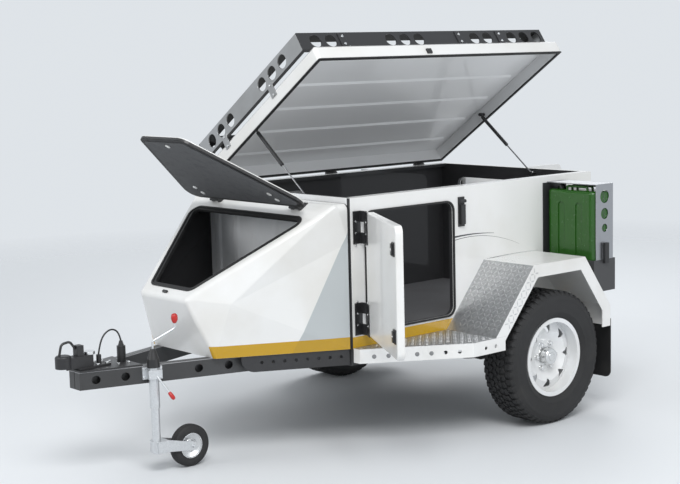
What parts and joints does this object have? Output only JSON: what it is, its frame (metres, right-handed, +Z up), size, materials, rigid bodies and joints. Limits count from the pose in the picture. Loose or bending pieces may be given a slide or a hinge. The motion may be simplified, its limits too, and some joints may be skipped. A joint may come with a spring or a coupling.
{
  "type": "camper trailer",
  "caption": "Single-axle off-road camper trailer with a hinged lid, side and tail doors, a nose locker under a hatch, roof rack, and a jockey wheel on the drawbar.",
  "frame": {"origin": "centre of the ball that the coupling takes", "axes": "+X forward along the drawbar, +Y to the left, +Z up"},
  "size_m": [4.067, 2.1617, 2.0617],
  "materials": {
    "white_paint": "gloss",
    "grey_lining": "satin",
    "black_paint": "satin",
    "cast_black": "satin",
    "bright_steel": "polished",
    "galvanised": "satin",
    "black_metal": "satin",
    "rod_steel": "polished",
    "chequer_plate": "satin",
    "wheel_white": "gloss",
    "tyre_rubber": "matte",
    "black_rubber": "matte",
    "jockey_plastic": "satin",
    "red_plastic": "gloss",
    "holder_grey": "satin",
    "can_green": "gloss",
    "carpet": "matte",
    "lamp_red": "gloss"
  },
  "bodies": {
    "trailer": {"chassis_rails": "black_paint", "crossmembers": "black_paint", "drawbar_beams": "black_paint", "drawbar_head": "black_paint", "coupling": "cast_black", "coupling_handle": "bright_steel", "plug_post": "black_rubber", "plug_lead": "black_rubber", "jockey_clamp": "galvanised", "jockey_tube": "galvanised", "jockey_boot": "black_paint", "jockey_crank": "galvanised", "jockey_grips": "red_plastic", "nose_shell": "white_paint", "nose_plates": "black_paint", "body_left": "white_paint", "body_right": "white_paint", "body_front": "grey_lining", "body_rear": "white_paint", "body_floor": "grey_lining", "body_seals": "black_rubber", "body_fittings": "black_metal", "fenders": "chequer_plate", "steps": "chequer_plate", "mudflaps": "black_rubber", "axle": "black_paint", "leaf_springs": "black_paint", "can_holders": "holder_grey", "cans": "can_green", "tail_lamps": "lamp_red"},
    "left_wheel": {"tyre_left": "tyre_rubber", "rim_left": "wheel_white", "hub_left": "bright_steel"},
    "right_wheel": {"tyre_right": "tyre_rubber", "rim_right": "wheel_white", "hub_right": "bright_steel"},
    "jockey_leg": {"jockey_stem": "galvanised"},
    "jockey_caster": {"jockey_fork": "galvanised"},
    "jockey_roller": {"jockey_rim": "jockey_plastic", "jockey_tyre": "tyre_rubber"},
    "left_door": {"door_left": "white_paint", "door_left_fittings": "black_metal"},
    "right_door": {"door_right": "white_paint", "door_right_fittings": "black_metal"},
    "rear_door": {"tail_door": "white_paint", "tail_door_fittings": "black_metal"},
    "lid": {"lid_shell": "white_paint", "lid_seal": "black_rubber", "lid_fittings": "black_metal", "rack_long_rails": "black_paint", "rack_cross_rails": "black_paint"},
    "hatch": {"hatch_panel": "white_paint", "hatch_lining": "carpet", "hatch_fittings": "black_metal"},
    "front_tube": {"strut_tube_front": "black_metal"},
    "front_rod": {"strut_rod_front": "rod_steel"},
    "back_tube": {"strut_tube_rear": "black_metal"},
    "back_rod": {"strut_rod_rear": "rod_steel"}
  },
  "joints": [
    {"name": "left_wheel_spin", "type": "hinge", "parent": "trailer", "child": "left_wheel", "pos_m": [-2.385, 0.825, -0.2235], "axis": [0, 1, 0], "continuous": true},
    {"name": "right_wheel_spin", "type": "hinge", "parent": "trailer", "child": "right_wheel", "pos_m": [-2.385, -0.825, -0.2235], "axis": [0, 1, 0], "continuous": true},
    {"name": "jockey_lift", "type": "slide", "parent": "trailer", "child": "jockey_leg", "axis": [0, 0, 1], "range_m": [0, 0.15]},
    {"name": "jockey_swivel", "type": "hinge", "parent": "jockey_leg", "child": "jockey_caster", "pos_m": [-0.375, 0.18085, -0.445], "axis": [0, 0, 1], "continuous": true},
    {"name": "jockey_roll", "type": "hinge", "parent": "jockey_caster", "child": "jockey_roller", "pos_m": [-0.561, 0.18085, -0.4725], "axis": [0, 1, 0], "continuous": true},
    {"name": "left_door_hinge", "type": "hinge", "parent": "trailer", "child": "left_door", "pos_m": [-1.331, 0.633, 0.315], "axis": [0, 0, 1], "range_deg": [-55, 120]},
    {"name": "right_door_hinge", "type": "hinge", "parent": "trailer", "child": "right_door", "pos_m": [-1.331, -0.633, 0.315], "axis": [0, 0, -1], "range_deg": [-175, 0]},
    {"name": "rear_door_hinge", "type": "hinge", "parent": "trailer", "child": "rear_door", "pos_m": [-3.117, -0.468, 0.315], "axis": [0, 0, -1], "range_deg": [-85, 90]},
    {"name": "lid_hinge", "type": "hinge", "parent": "trailer", "child": "lid", "pos_m": [-2.173, -0.604, 0.691], "axis": [-1, 0, 0], "range_deg": [0, 34]},
    {"name": "hatch_hinge", "type": "hinge", "parent": "trailer", "child": "hatch", "pos_m": [-1.13657, 0, 0.63745], "axis": [0, 1, 0], "range_deg": [0, 67]},
    {"name": "front_strut_swing", "type": "hinge", "parent": "lid", "child": "front_tube", "pos_m": [-1.325, -0.20626, 0.99547], "axis": [1, 0, 0], "range_deg": [0, 62.54]},
    {"name": "front_strut_slide", "type": "slide", "parent": "front_tube", "child": "front_rod", "axis": [0, -0.7739, 0.6333], "range_m": [0, 0.216]},
    {"name": "back_strut_swing", "type": "hinge", "parent": "lid", "child": "back_tube", "pos_m": [-3.021, -0.20626, 0.99547], "axis": [1, 0, 0], "range_deg": [0, 62.54]},
    {"name": "back_strut_slide", "type": "slide", "parent": "back_tube", "child": "back_rod", "axis": [0, -0.7739, 0.6333], "range_m": [0, 0.216]}
  ],
  "couplings": [
    {"joint": "front_strut_swing", "follows": "lid_hinge", "ratio": 1.8381},
    {"joint": "front_strut_slide", "follows": "lid_hinge", "m_per_rad": 0.36311},
    {"joint": "back_strut_swing", "follows": "lid_hinge", "ratio": 1.8381},
    {"joint": "back_strut_slide", "follows": "lid_hinge", "m_per_rad": 0.36311}
  ]
}
